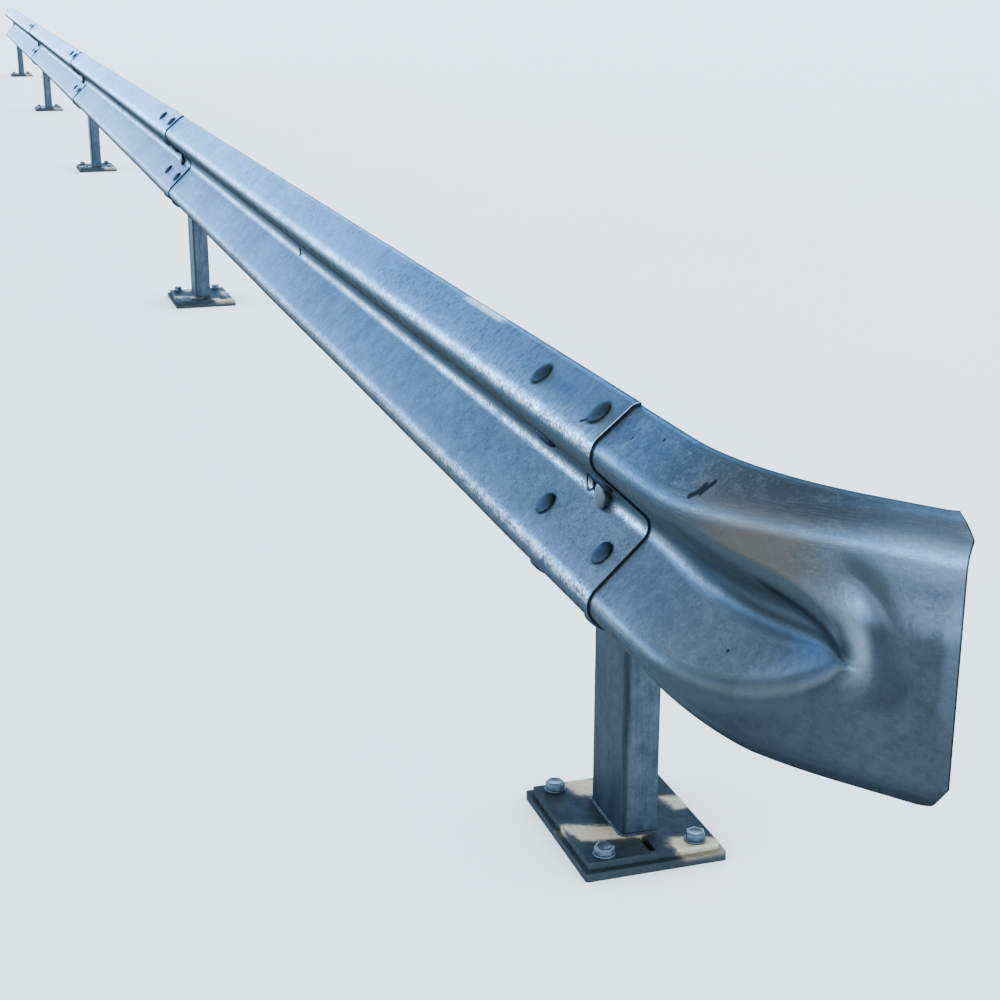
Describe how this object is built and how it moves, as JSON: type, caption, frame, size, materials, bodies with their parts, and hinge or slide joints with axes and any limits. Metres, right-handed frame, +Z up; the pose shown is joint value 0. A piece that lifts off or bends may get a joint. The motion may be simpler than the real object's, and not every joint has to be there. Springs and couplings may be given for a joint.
{
  "type": "highway guardrail section",
  "caption": "Surface-mounted W-beam road guardrail: lapped corrugated steel rails on short channel posts with base plates, closed by a flared end piece.",
  "frame": {"origin": "underside of the first post's levelling plate, under the middle of that post's front face", "axes": "+X along the rail towards the flared end, -Y towards the road, +Z up"},
  "size_m": [16.8512, 0.213, 0.6431],
  "materials": {
    "rail_steel": "hot-dip galvanised, weathered",
    "flared_steel": "hot-dip galvanised, weathered, a little darker than the rails",
    "post_steel": "hot-dip galvanised, dull, streaked",
    "base_plate_steel": "hot-dip galvanised, dull, dusty",
    "levelling_steel": "hot-dip galvanised, dusty"
  },
  "bodies": {
    "root": {"rail_1": "rail_steel", "rail_2": "rail_steel", "rail_3": "rail_steel", "rail_4": "rail_steel", "flared_end": "flared_steel", "post_1": "post_steel", "post_2": "post_steel", "post_3": "post_steel", "post_4": "post_steel", "post_5": "post_steel", "base_plate_1": "base_plate_steel", "base_plate_2": "base_plate_steel", "base_plate_3": "base_plate_steel", "base_plate_4": "base_plate_steel", "base_plate_5": "base_plate_steel", "levelling_plate_1": "levelling_steel", "levelling_plate_2": "levelling_steel", "levelling_plate_3": "levelling_steel", "levelling_plate_4": "levelling_steel", "levelling_plate_5": "levelling_steel"}
  },
  "joints": []
}
